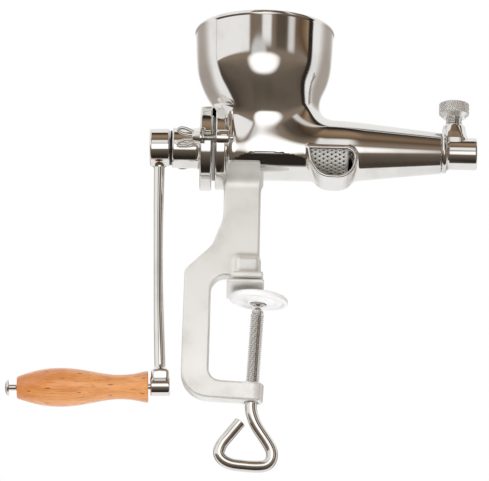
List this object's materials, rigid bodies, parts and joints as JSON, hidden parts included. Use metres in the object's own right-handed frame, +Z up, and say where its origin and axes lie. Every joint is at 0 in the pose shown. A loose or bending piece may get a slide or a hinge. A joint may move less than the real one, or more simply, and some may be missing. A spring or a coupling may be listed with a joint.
{
  "type": "hand-cranked auger juicer",
  "caption": "Hand-cranked stainless steel auger juicer with a hopper, a perforated juice window, a pulp nozzle with a pressure screw, a wooden crank grip and a table clamp.",
  "frame": {"origin": "centre of the jaw pad's underside, which rests on the table top", "axes": "+X along the barrel towards the pulp outlet, +Z up, -Y the operator's near side"},
  "size_m": [0.3501, 0.1064, 0.3454],
  "materials": {
    "mirror_steel": "mirror polished stainless steel",
    "satin_steel": "satin blasted stainless steel",
    "pad_plastic": "smooth white nylon",
    "grip_wood": "clear lacquered beech",
    "bush_plastic": "black moulded plastic",
    "seal_rubber": "pale silicone"
  },
  "bodies": {
    "frame": {"body_casting": "mirror_steel", "nozzle_end": "mirror_steel", "juice_screen": "satin_steel", "rear_cap": "mirror_steel", "seal_ring": "seal_rubber", "shaft_bush": "bush_plastic", "stud_near": "mirror_steel", "stud_far": "mirror_steel", "clamp_frame": "satin_steel", "jaw_pad": "satin_steel"},
    "crank": {"auger": "mirror_steel", "crank_hub": "mirror_steel", "crank_arm": "mirror_steel", "crank_eye": "mirror_steel", "crank_screw": "mirror_steel", "grip_bolt": "mirror_steel"},
    "grip_sleeve": {"grip_sleeve": "satin_steel"},
    "grip": {"grip": "grip_wood"},
    "pad_socket": {"pad_socket": "satin_steel"},
    "clamp_screw": {"clamp_screw": "mirror_steel"},
    "swivel_disc": {"swivel_disc": "pad_plastic"},
    "washer_near": {"washer_near": "mirror_steel"},
    "wing_nut_near": {"wing_nut_near": "mirror_steel"},
    "washer_far": {"washer_far": "mirror_steel"},
    "wing_nut_far": {"wing_nut_far": "mirror_steel"},
    "pressure_pin": {"pressure_pin": "mirror_steel"},
    "adjusting_screw": {"adjusting_screw": "mirror_steel"}
  },
  "joints": [
    {"name": "crank_turn", "type": "hinge", "parent": "frame", "child": "crank", "pos_m": [0, 0, 0.1115], "axis": [1, 0, 0], "continuous": true},
    {"name": "grip_shift", "type": "slide", "parent": "crank", "child": "grip_sleeve", "axis": [-0.9997, 0, -0.0262], "range_m": [0, 0.0057]},
    {"name": "grip_spin", "type": "hinge", "parent": "grip_sleeve", "child": "grip", "pos_m": [-0.11033, 0, -0.07705], "axis": [-0.9997, 0, -0.0262], "continuous": true},
    {"name": "pad_travel", "type": "slide", "parent": "frame", "child": "pad_socket", "axis": [0.0501, 0, 0.9987], "range_m": [-0.045, 0.001]},
    {"name": "screw_turn", "type": "hinge", "parent": "pad_socket", "child": "clamp_screw", "pos_m": [0.0115, 0, -0.0099], "axis": [0.0501, 0, 0.9987], "range_deg": [-10800, 240]},
    {"name": "pad_tilt", "type": "hinge", "parent": "pad_socket", "child": "swivel_disc", "pos_m": [0.0115, 0, -0.0099], "axis": [0, 1, 0], "range_deg": [-8, 3]},
    {"name": "nut_travel_near", "type": "slide", "parent": "frame", "child": "washer_near", "axis": [-1, 0, 0], "range_m": [0, 0.006]},
    {"name": "nut_turn_near", "type": "hinge", "parent": "washer_near", "child": "wing_nut_near", "pos_m": [-0.036, -0.027, 0.1115], "axis": [-1, 0, 0], "range_deg": [0, 2700]},
    {"name": "nut_travel_far", "type": "slide", "parent": "frame", "child": "washer_far", "axis": [-1, 0, 0], "range_m": [0, 0.006]},
    {"name": "nut_turn_far", "type": "hinge", "parent": "washer_far", "child": "wing_nut_far", "pos_m": [-0.036, 0.027, 0.1115], "axis": [-1, 0, 0], "range_deg": [0, 2700]},
    {"name": "pressure_travel", "type": "slide", "parent": "frame", "child": "pressure_pin", "axis": [0, 0, 1], "range_m": [-0.0045, 0.004]},
    {"name": "pressure_turn", "type": "hinge", "parent": "pressure_pin", "child": "adjusting_screw", "pos_m": [0.157, 0, 0.1115], "axis": [0, 0, 1], "range_deg": [-926, 824]}
  ],
  "couplings": [
    {"joint": "screw_turn", "follows": "pad_travel", "rad_per_m": 4188.8},
    {"joint": "nut_turn_near", "follows": "nut_travel_near", "rad_per_m": 7854},
    {"joint": "nut_turn_far", "follows": "nut_travel_far", "rad_per_m": 7854},
    {"joint": "pressure_turn", "follows": "pressure_travel", "rad_per_m": 3590.4}
  ]
}
